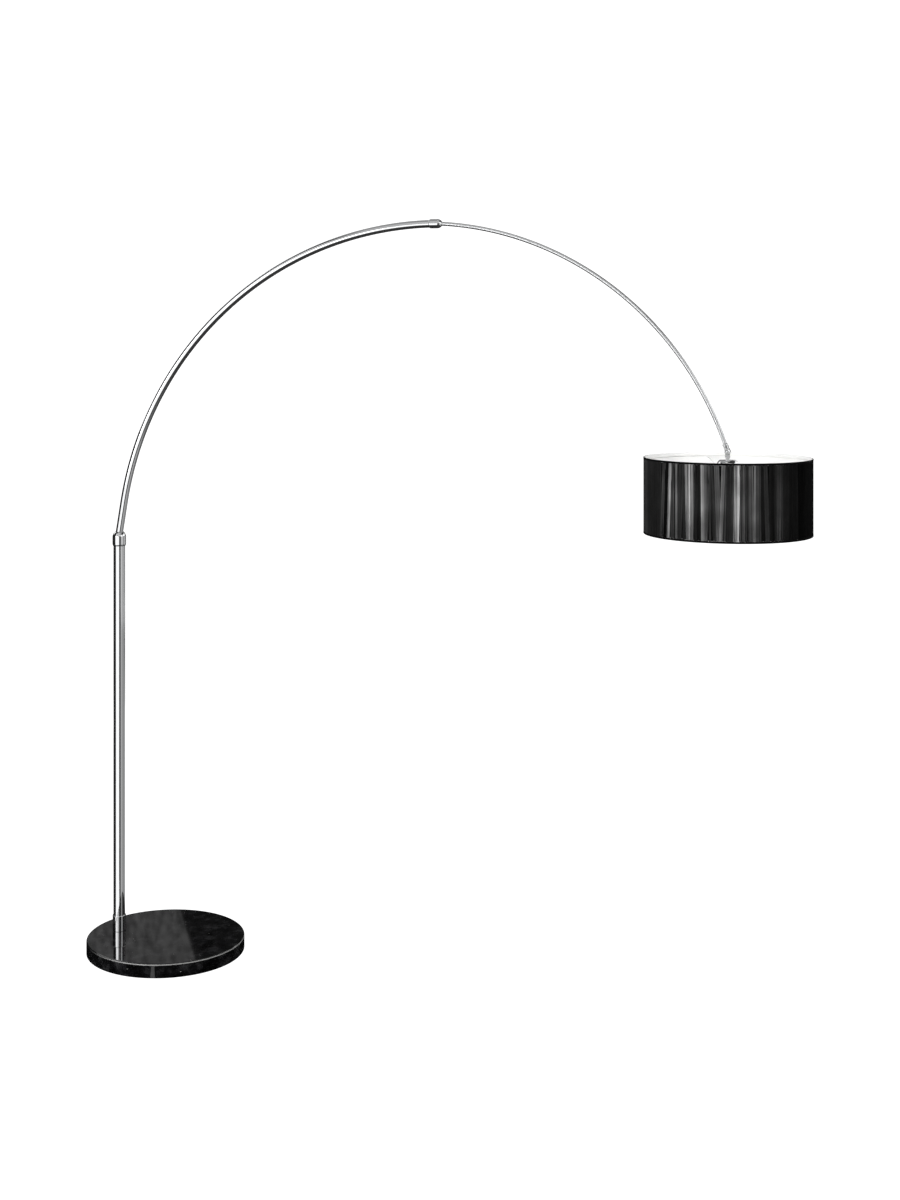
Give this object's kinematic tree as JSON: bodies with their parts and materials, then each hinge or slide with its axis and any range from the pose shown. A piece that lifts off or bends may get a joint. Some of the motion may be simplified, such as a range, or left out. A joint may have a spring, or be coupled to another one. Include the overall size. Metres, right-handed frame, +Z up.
{
  "type": "arc floor lamp",
  "caption": "Chrome arc floor lamp: a telescoping bow on a turning collar over a straight post and round stone base carries a tilting string drum shade.",
  "frame": {"origin": "centre of the round base, on the underside of its felt", "axes": "+Z up along the post, +X from the post's side of the base towards the shade, +Y completes the right-handed set"},
  "size_m": [1.8095, 0.4, 1.8524],
  "materials": {
    "marble": "polished black stone with sparse light specks",
    "felt": "pressed felt",
    "rubber": "matte",
    "chrome": "polished chrome plate on steel",
    "zinc": "bright zinc plate",
    "nylon": "natural nylon",
    "bakelite": "black phenolic moulding",
    "ceramic": "unglazed steatite",
    "brass": "bright brass",
    "bulb_metal": "bright aluminium",
    "opal_glass": "opal white glass",
    "frame_wire": "white enamel on steel wire",
    "shade_liner": "white translucent sheet",
    "string": "black and grey upright strings",
    "trim_tape": "black woven tape",
    "flex": "black sheath"
  },
  "bodies": {
    "stand": {"base_felt": "felt", "marble_base": "marble", "cord_grommet": "rubber", "anchor_stud": "zinc", "anchor_washer": "zinc", "anchor_nut": "zinc", "post_foot_plug": "zinc", "foot_collar": "chrome", "post_tube": "chrome", "lead_post": "flex"},
    "swivel_collar": {"cap_bush": "nylon", "cap_collar": "chrome", "cap_grub_screw": "zinc"},
    "lower_arm": {"lower_bow_tube": "chrome", "tail_guide": "nylon", "bow_collar": "chrome", "bow_bush": "nylon", "bow_grub_screw": "zinc", "lead_lower": "flex"},
    "upper_arm": {"upper_bow_tube": "chrome", "slide_guide": "nylon", "tip_ferrule": "chrome", "knuckle_fork": "chrome", "tilt_screw": "chrome", "tilt_washer": "zinc", "tilt_nut": "zinc", "lead_upper": "flex"},
    "shade_head": {"knuckle_tongue": "chrome", "stem_tube": "chrome", "socket_cup": "chrome", "stem_nut": "zinc", "holder_cap": "bakelite", "holder_skirt": "bakelite", "contact_block": "ceramic", "screw_shell": "brass", "centre_contact": "brass", "bulb_cap": "bulb_metal", "bulb_glass": "opal_glass", "spider_hub": "frame_wire", "spider_arm_1": "frame_wire", "spider_arm_2": "frame_wire", "spider_arm_3": "frame_wire", "ring_nut_upper": "bakelite", "ring_nut_lower": "bakelite", "top_wire_ring": "frame_wire", "bottom_wire_ring": "frame_wire", "shade_liner": "shade_liner", "shade_strings": "string", "top_trim": "trim_tape", "bottom_trim": "trim_tape", "lead_head": "flex"}
  },
  "joints": [
    {"name": "arm_swivel", "type": "hinge", "parent": "stand", "child": "swivel_collar", "pos_m": [-0.1315, 0, 1.0446], "axis": [0, 0, 1], "range_deg": [-170, 170]},
    {"name": "arm_lift", "type": "slide", "parent": "swivel_collar", "child": "lower_arm", "axis": [0, 0, 1], "range_m": [0, 0.2]},
    {"name": "arm_reach", "type": "hinge", "parent": "lower_arm", "child": "upper_arm", "pos_m": [0.7136, 0, 0.9968], "axis": [0, 1, 0], "range_deg": [0, 10]},
    {"name": "shade_tilt", "type": "hinge", "parent": "upper_arm", "child": "shade_head", "pos_m": [1.4171, 0, 1.3013], "axis": [0, 1, 0], "range_deg": [-45, 45]}
  ]
}
